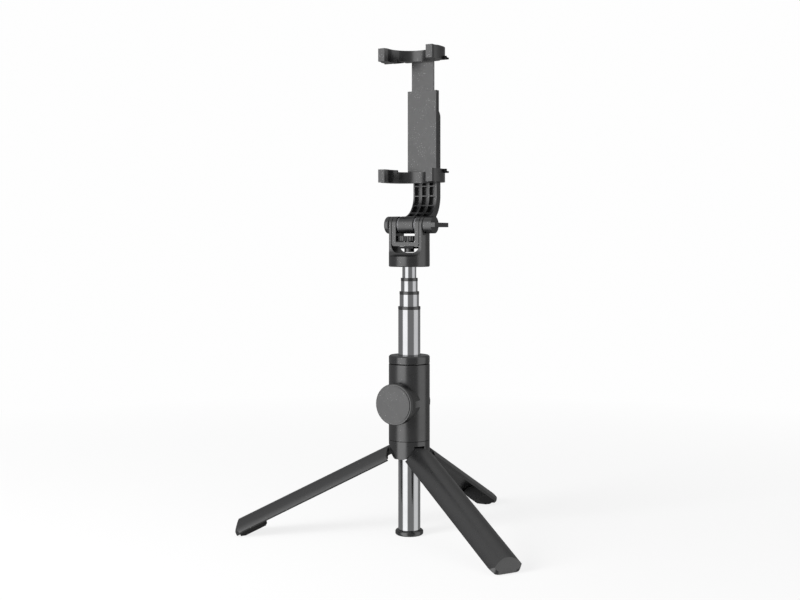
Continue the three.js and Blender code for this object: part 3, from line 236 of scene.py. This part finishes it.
def moulding_group():
    """Moulded surface: cloudy tone, polished or dusty patches, a fine spark-eroded grain and rubbed edges."""
    group = bpy.data.node_groups.new("moulded_skin", "ShaderNodeTree")
    face = group.interface
    for name, kind, default in (("Vector", "NodeSocketVector", None), ("Colour", "NodeSocketColor", None),
                                ("Roughness", "NodeSocketFloat", 0.4), ("Grain", "NodeSocketFloat", 5200),
                                ("Tone", "NodeSocketFloat", 0.10), ("Wear", "NodeSocketFloat", 0.08)):
        socket = face.new_socket(name=name, in_out="INPUT", socket_type=kind)
        if default is not None:
            socket.default_value = default
    for name, kind in (("Colour", "NodeSocketColor"), ("Roughness", "NodeSocketFloat"),
                       ("Height", "NodeSocketFloat")):
        face.new_socket(name=name, in_out="OUTPUT", socket_type=kind)
    add, link = group.nodes.new, group.links.new
    given, result = add("NodeGroupInput"), add("NodeGroupOutput")

    clouds = add("ShaderNodeTexNoise")
    clouds.inputs["Scale"].default_value = 60
    clouds.inputs["Detail"].default_value = 5
    link(given.outputs["Vector"], clouds.inputs["Vector"])
    tone = add("ShaderNodeMapRange")
    tone.inputs["From Min"].default_value = 0.3
    tone.inputs["From Max"].default_value = 0.7
    link(clouds.outputs["Fac"], tone.inputs["Value"])
    low = add("ShaderNodeMath")
    low.operation = "SUBTRACT"
    low.inputs[0].default_value = 1
    high = add("ShaderNodeMath")
    high.operation = "ADD"
    high.inputs[0].default_value = 1
    link(given.outputs["Tone"], low.inputs[1])
    link(given.outputs["Tone"], high.inputs[1])
    link(low.outputs[0], tone.inputs["To Min"])
    link(high.outputs[0], tone.inputs["To Max"])
    shaded = add("ShaderNodeVectorMath")
    shaded.operation = "SCALE"
    link(given.outputs["Colour"], shaded.inputs[0])
    link(tone.outputs["Result"], shaded.inputs["Scale"])

    edge = add("ShaderNodeBevel")
    edge.samples = 4
    edge.inputs["Radius"].default_value = 0.35 * MM
    true_face = add("ShaderNodeNewGeometry")
    match = add("ShaderNodeVectorMath")
    match.operation = "DOT_PRODUCT"
    link(edge.outputs["Normal"], match.inputs[0])
    link(true_face.outputs["Normal"], match.inputs[1])
    rubbed = add("ShaderNodeMapRange")
    rubbed.inputs["From Min"].default_value = 0.995
    rubbed.inputs["From Max"].default_value = 0.90
    link(match.outputs["Value"], rubbed.inputs["Value"])
    patches = add("ShaderNodeTexNoise")
    patches.inputs["Scale"].default_value = 420
    patches.inputs["Detail"].default_value = 3
    link(given.outputs["Vector"], patches.inputs["Vector"])
    worn = add("ShaderNodeMath")
    worn.operation = "MULTIPLY"
    link(rubbed.outputs["Result"], worn.inputs[0])
    link(patches.outputs["Fac"], worn.inputs[1])
    amount = add("ShaderNodeMath")
    amount.operation = "MULTIPLY"
    link(worn.outputs[0], amount.inputs[0])
    link(given.outputs["Wear"], amount.inputs[1])
    lighter = add("ShaderNodeVectorMath")
    lighter.operation = "SCALE"
    lighter.inputs["Scale"].default_value = 2.4
    link(shaded.outputs["Vector"], lighter.inputs[0])
    mixed = add("ShaderNodeMix")
    mixed.data_type = "RGBA"
    link(amount.outputs[0], mixed.inputs["Factor"])
    link(shaded.outputs["Vector"], mixed.inputs["A"])
    link(lighter.outputs["Vector"], mixed.inputs["B"])
    link(mixed.outputs["Result"], result.inputs["Colour"])

    handled = add("ShaderNodeTexNoise")
    handled.inputs["Scale"].default_value = 150
    handled.inputs["Detail"].default_value = 6
    handled.inputs["Distortion"].default_value = 0.6
    link(given.outputs["Vector"], handled.inputs["Vector"])
    spread = add("ShaderNodeMapRange")
    spread.inputs["From Min"].default_value = 0.3
    spread.inputs["From Max"].default_value = 0.7
    spread.inputs["To Min"].default_value = -0.05
    spread.inputs["To Max"].default_value = 0.05
    link(handled.outputs["Fac"], spread.inputs["Value"])
    rough = add("ShaderNodeMath")
    rough.operation = "ADD"
    link(given.outputs["Roughness"], rough.inputs[0])
    link(spread.outputs["Result"], rough.inputs[1])
    link(rough.outputs[0], result.inputs["Roughness"])

    grain = add("ShaderNodeTexNoise")
    grain.inputs["Detail"].default_value = 3
    grain.inputs["Roughness"].default_value = 0.6
    link(given.outputs["Vector"], grain.inputs["Vector"])
    link(given.outputs["Grain"], grain.inputs["Scale"])
    link(grain.outputs["Fac"], result.inputs["Height"])
    return group


moulded_skin = moulding_group()


def moulded(name, colour, roughness, grain=5200, depth=0.0015, tone=0.10, wear=0.08, shine=0.8):
    """A moulded plastic or rubber in its own colour and gloss."""
    material = bpy.data.materials.new(name)
    material.use_nodes = True
    tree = material.node_tree
    shader = tree.nodes["Principled BSDF"]
    skin = tree.nodes.new("ShaderNodeGroup")
    skin.node_tree = moulded_skin
    skin.inputs["Colour"].default_value = (*colour, 1)
    skin.inputs["Roughness"].default_value = roughness
    skin.inputs["Grain"].default_value = grain
    skin.inputs["Tone"].default_value = tone
    skin.inputs["Wear"].default_value = wear
    tree.links.new(texture_space(tree), skin.inputs["Vector"])
    bump = tree.nodes.new("ShaderNodeBump")
    bump.inputs["Strength"].default_value = 1
    bump.inputs["Distance"].default_value = depth * MM
    tree.links.new(skin.outputs["Height"], bump.inputs["Height"])
    tree.links.new(bump.outputs["Normal"], shader.inputs["Normal"])
    tree.links.new(skin.outputs["Colour"], shader.inputs["Base Color"])
    tree.links.new(skin.outputs["Roughness"], shader.inputs["Roughness"])
    shader.inputs["IOR"].default_value = 1.8
    shader.inputs["Specular IOR Level"].default_value = shine
    return material


satin_black = moulded("satin_black_moulding", SATIN_BLACK, 0.29)


def round_edges(piece, width, segments=3, angle=32):
    """Rounds the sharp edges and shades the faces smoothly, with the flat ones kept flat."""
    select_only(piece)
    bpy.ops.object.shade_smooth_by_angle(angle=radians(angle))
    rounding = piece.modifiers.new("rounded_edges", "BEVEL")
    rounding.width = width * MM
    rounding.segments = segments
    rounding.limit_method = "ANGLE"
    rounding.angle_limit = radians(angle)
    rounding.use_clamp_overlap = True
    bpy.ops.object.modifier_apply(modifier=rounding.name)
    bpy.ops.object.shade_smooth_by_angle(angle=radians(50))
    even = piece.modifiers.new("even_shading", "WEIGHTED_NORMAL")
    even.keep_sharp = True
    bpy.ops.object.modifier_apply(modifier=even.name)


def finish_piece(piece, material, body, slot, *nodes):
    """Gives the piece its material, hangs it on the body that it moves with, and hides the CAD parts that it stands
    for.
    """
    piece.data.materials.clear()
    piece.data.materials.append(material)
    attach(piece, body)
    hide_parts(*nodes)


def refined(name, node, width, segments=3):
    """The CAD piece's own shape, with its triangles joined into whole faces and its edges rounded."""
    piece = bpy.data.objects.new(name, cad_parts[node].data.copy())
    bpy.context.scene.collection.objects.link(piece)
    select_only(piece)
    bpy.ops.object.mode_set(mode="EDIT")
    bpy.ops.mesh.select_all(action="SELECT")
    bpy.ops.mesh.remove_doubles(threshold=0.002 * MM)
    bpy.ops.mesh.dissolve_limited(angle_limit=radians(1))
    bpy.ops.object.mode_set(mode="OBJECT")
    round_edges(piece, width, segments)
    return piece


sleeve_low, sleeve_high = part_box("collar_sleeve")
sleeve_radius = sleeve_high.x
remote_height = (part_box("remote_case")[0].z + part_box("remote_case")[1].z) / 2
BOSS_RADIUS = 11.6 * MM
FILLET = 0.9


def grip_sleeve():
    """The sleeve with its boss, joined, hollowed and filleted."""
    bpy.ops.object.select_all(action="DESELECT")
    middle = (sleeve_low.z + sleeve_high.z) / 2
    bpy.ops.mesh.primitive_cylinder_add(vertices=128, radius=sleeve_radius, depth=sleeve_high.z - sleeve_low.z,
                                        location=(0, 0, middle))
    sleeve = bpy.context.object
    sleeve.name = "collar_grip"
    bpy.ops.mesh.primitive_cylinder_add(vertices=96, radius=BOSS_RADIUS, depth=sleeve_radius - sleeve_low.y,
                                        location=(0, (sleeve_low.y - sleeve_radius) / 2 + sleeve_radius / 2,
                                                  remote_height), rotation=(pi / 2, 0, 0))
    boss = bpy.context.object
    bpy.ops.mesh.primitive_cylinder_add(vertices=96, radius=sleeve_radius - 2 * MM, depth=0.2,
                                        location=(0, 0, middle))
    bore = bpy.context.object
    for tool, way in ((boss, "UNION"), (bore, "DIFFERENCE")):
        select_only(sleeve)
        join = sleeve.modifiers.new("join", "BOOLEAN")
        join.object = tool
        join.operation = way
        join.solver = "EXACT"
        bpy.ops.object.modifier_apply(modifier=join.name)
        bpy.data.objects.remove(tool)
    bpy.ops.object.transform_apply(location=True, rotation=True, scale=True)
    round_edges(sleeve, FILLET, segments=4)
    return sleeve


finish_piece(grip_sleeve(), satin_black, "collar", "collar_plastic", "collar_sleeve")

# The collar's cap and leg hub: glossier black mouldings pressed onto the sleeve's two ends. The hub is notched
# for the three legs, and each leg turns on a steel pin through it.
GLOSS_BLACK = (0.0065, 0.0066, 0.0070)
gloss_black = moulded("gloss_black_moulding", GLOSS_BLACK, 0.23, grain=7000, depth=0.0008)
finish_piece(refined("collar_top_cap", "collar_cap", 0.6), gloss_black, "collar", "gloss_plastic", "collar_cap")
finish_piece(refined("collar_leg_hub", "leg_hub", 0.25), gloss_black, "collar", "gloss_plastic", "leg_hub")


def metal(name, colour, roughness, lines=(1, 1, 1), scale=900, depth=0.002, spread=0.08):
    """A bare metal with fine tool marks that follow the stretch."""
    material = bpy.data.materials.new(name)
    material.use_nodes = True
    tree = material.node_tree
    add, link = tree.nodes.new, tree.links.new
    shader = tree.nodes["Principled BSDF"]
    shader.inputs["Metallic"].default_value = 1
    marks = add("ShaderNodeTexNoise")
    marks.inputs["Scale"].default_value = scale
    marks.inputs["Detail"].default_value = 6
    marks.inputs["Roughness"].default_value = 0.65
    link(texture_space(tree, lines), marks.inputs["Vector"])
    polish = add("ShaderNodeMapRange")
    polish.inputs["From Min"].default_value = 0.3
    polish.inputs["From Max"].default_value = 0.7
    polish.inputs["To Min"].default_value = max(roughness - spread, 0.02)
    polish.inputs["To Max"].default_value = roughness + spread
    link(marks.outputs["Fac"], polish.inputs["Value"])
    link(polish.outputs["Result"], shader.inputs["Roughness"])
    cloud = add("ShaderNodeTexNoise")
    cloud.inputs["Scale"].default_value = 80
    link(texture_space(tree), cloud.inputs["Vector"])
    tint = add("ShaderNodeMix")
    tint.data_type = "RGBA"
    tint.inputs["A"].default_value = (*[0.9 * c for c in colour], 1)
    tint.inputs["B"].default_value = (*[min(1.08 * c, 1) for c in colour], 1)
    link(cloud.outputs["Fac"], tint.inputs["Factor"])
    link(tint.outputs["Result"], shader.inputs["Base Color"])
    bump = add("ShaderNodeBump")
    bump.inputs["Distance"].default_value = depth * MM
    link(marks.outputs["Fac"], bump.inputs["Height"])
    link(bump.outputs["Normal"], shader.inputs["Normal"])
    return material


turned_steel = metal("turned_steel", (0.58, 0.59, 0.61), 0.28)
nylon = moulded("moulded_nylon", (0.070, 0.070, 0.074), 0.55)
for i in (1, 2, 3):
    finish_piece(refined(f"hinge_pin_{i}", f"leg_pin_{i}", 0.2), turned_steel, "collar", "steel", f"leg_pin_{i}")
finish_piece(refined("sliding_bush", "slide_bush", 0.3), nylon, "collar", "nylon", "slide_bush")

# The legs: long half-round channels moulded in the same satin black, with a bevelled nose, and a soft rubber foot
# pressed into the nose so that its sole meets the ground.
soft_rubber = moulded("black_rubber", (0.012, 0.012, 0.0125), 0.72, grain=2600, depth=0.006, tone=0.2, wear=0.05,
                       shine=0.25)
LEG_BODIES = ("leg_left", "leg_right", "leg_rear")
for i, body in enumerate(LEG_BODIES, start=1):
    shell = refined(f"leg_channel_{i}", f"leg_shell_{i}", 0.5)
    finish_piece(shell, satin_black, body, "collar_plastic", f"leg_shell_{i}")
    sole = refined(f"rubber_foot_{i}", f"leg_foot_{i}", 0.5)
    finish_piece(sole, soft_rubber, body, "rubber", f"leg_foot_{i}")

# The remote: a flat puck with a grey satin face, a round button set in a thin groove, and a pin-point lamp. A
# coin cell and a circuit board lie behind the face.
remote_grey = moulded("remote_grey", (0.012, 0.012, 0.0122), 0.30, grain=8000, depth=0.0008, tone=0.05, wear=0.05)
finish_piece(refined("puck_case", "remote_case", 0.3), gloss_black, "remote", "gloss_plastic", "remote_case")
finish_piece(refined("puck_face", "remote_face", 0.12), remote_grey, "remote", "remote_plastic", "remote_face")
finish_piece(refined("shutter_button", "remote_button", 0.1), remote_grey, "button", "remote_plastic",
             "remote_button")
finish_piece(refined("coin_cell", "remote_cell", 0.2), turned_steel, "remote", "steel", "remote_cell")
board_green = moulded("circuit_board", (0.03, 0.12, 0.05), 0.35, tone=0.2)
finish_piece(refined("circuit_board", "remote_board", 0.1), board_green, "remote", "board", "remote_board")
lamp_white = moulded("clear_lamp", (0.80, 0.84, 0.86), 0.2, tone=0.03, wear=0)
finish_piece(refined("signal_lamp", "remote_lamp", 0.04), lamp_white, "remote", "lamp", "remote_lamp")

# The telescopic tubes: four thin drawn tubes, polished so that the room shows as upright stripes. Each has a
# black ring at its mouth and a nylon glide at its foot, and a flange closes the widest one.
polished_tube = metal("polished_tube", (0.70, 0.705, 0.72), 0.10, lines=(1, 1, 0.012), scale=2600, depth=0.0004,
                      spread=0.03)
TUBE_BODIES = ("main_tube", "second_tube", "third_tube", "inner_tube")
TUBE_WALL = 0.35 * MM


def drawn_tube(name, node):
    """A fine round tube of the CAD tube's length, given its wall and softened at both mouths."""
    low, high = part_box(node)
    bpy.ops.object.select_all(action="DESELECT")
    bpy.ops.mesh.primitive_cylinder_add(vertices=160, radius=high.x, depth=high.z - low.z, end_fill_type="NOTHING",
                                        location=(0, 0, (low.z + high.z) / 2))
    tube = bpy.context.object
    tube.name = name
    wall = tube.modifiers.new("wall", "SOLIDIFY")
    wall.thickness = TUBE_WALL
    wall.offset = -1
    bpy.ops.object.modifier_apply(modifier=wall.name)
    bpy.ops.object.transform_apply(location=True, rotation=True, scale=True)
    round_edges(tube, 0.1, segments=2)
    return tube


for i, body in enumerate(TUBE_BODIES, start=1):
    finish_piece(drawn_tube(f"drawn_tube_{i}", f"tube_{i}"), polished_tube, body, "bright_tube", f"tube_{i}")
for i, body in enumerate(TUBE_BODIES[:3], start=1):
    ring = refined(f"mouth_ring_{i}", f"tube_ring_{i}", 0.15)
    finish_piece(ring, gloss_black, body, "gloss_plastic", f"tube_ring_{i}")
for i, body in enumerate(TUBE_BODIES[1:], start=2):
    finish_piece(refined(f"glide_{i}", f"tube_glide_{i}", 0.1), nylon, body, "nylon", f"tube_glide_{i}")
finish_piece(refined("foot_flange", "end_flange", 0.4), gloss_black, "main_tube", "gloss_plastic", "end_flange")
finish_piece(refined("screw_plug", "tube_plug", 0.2), nylon, "inner_tube", "nylon", "tube_plug")

# The head: a round black moulding cut to a fork with flat cheeks, held to the inner tube by a screw it pans on.
# A steel axle crosses it, with a cap on its left end and a knob with a flat lever on its right.
finish_piece(refined("fork", "head_fork", 0.45), satin_black, "head", "collar_plastic", "head_fork")
finish_piece(refined("pan_screw_head", "pan_screw", 0.2), turned_steel, "head", "steel", "pan_screw")
finish_piece(refined("axle", "tilt_axle", 0.3), turned_steel, "head", "steel", "tilt_axle")
finish_piece(refined("axle_cap", "pivot_cap", 0.6), gloss_black, "head", "gloss_plastic", "pivot_cap")
finish_piece(refined("lock_knob", "lock_lever", 0.5), gloss_black, "lock", "gloss_plastic", "lock_lever")
for side in ("left", "right"):
    washer = refined(f"friction_washer_{side}", f"tilt_washer_{side}", 0.1)
    finish_piece(washer, nylon, "head", "nylon", f"tilt_washer_{side}")

# The camera yoke: a black frame that hangs in the fork and flips up. A knurled wheel in it turns a steel
# quarter-inch screw, which stands out through a rubber pad.
finish_piece(refined("yoke_frame", "camera_yoke", 0.3), gloss_black, "yoke", "gloss_plastic", "camera_yoke")
finish_piece(refined("yoke_pad", "camera_pad", 0.25), soft_rubber, "yoke", "rubber", "camera_pad")
finish_piece(refined("thumb_wheel", "camera_screw", 0.12), gloss_black, "camera_screw", "gloss_plastic",
             "camera_screw")

# The tilting arm: a ribbed black bend behind the phone, from the axle's barrel up to the clamp's swivel screw.
finish_piece(refined("ribbed_arm", "tilt_arm", 0.3), satin_black, "arm", "collar_plastic", "tilt_arm")
finish_piece(refined("swivel", "swivel_screw", 0.2), turned_steel, "arm", "steel", "swivel_screw")

# The phone clamp: two crescent jaws in satin black, the lower one with its spine, in which two long springs pull
# the upper one down. Rubber grips with a low lip line the phone's side of the jaws.
finish_piece(refined("lower_jaw_and_spine", "clamp_frame", 1.1), satin_black, "clamp", "collar_plastic",
             "clamp_frame")
finish_piece(refined("spine_back_cover", "spine_cover", 0.2), satin_black, "clamp", "collar_plastic", "spine_cover")
finish_piece(refined("sliding_jaw", "upper_jaw", 1.1), satin_black, "upper_jaw", "collar_plastic", "upper_jaw")
for jaw, body in (("lower", "clamp"), ("upper", "upper_jaw")):
    for side in ("left", "right"):
        grip = refined(f"{jaw}_rubber_{side}", f"{jaw}_grip_{side}", 0.3)
        finish_piece(grip, soft_rubber, body, "rubber", f"{jaw}_grip_{side}")
for side in ("left", "right"):
    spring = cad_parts[f"clamp_spring_{side}"]
    spring.data.materials.clear()
    spring.data.materials.append(turned_steel)
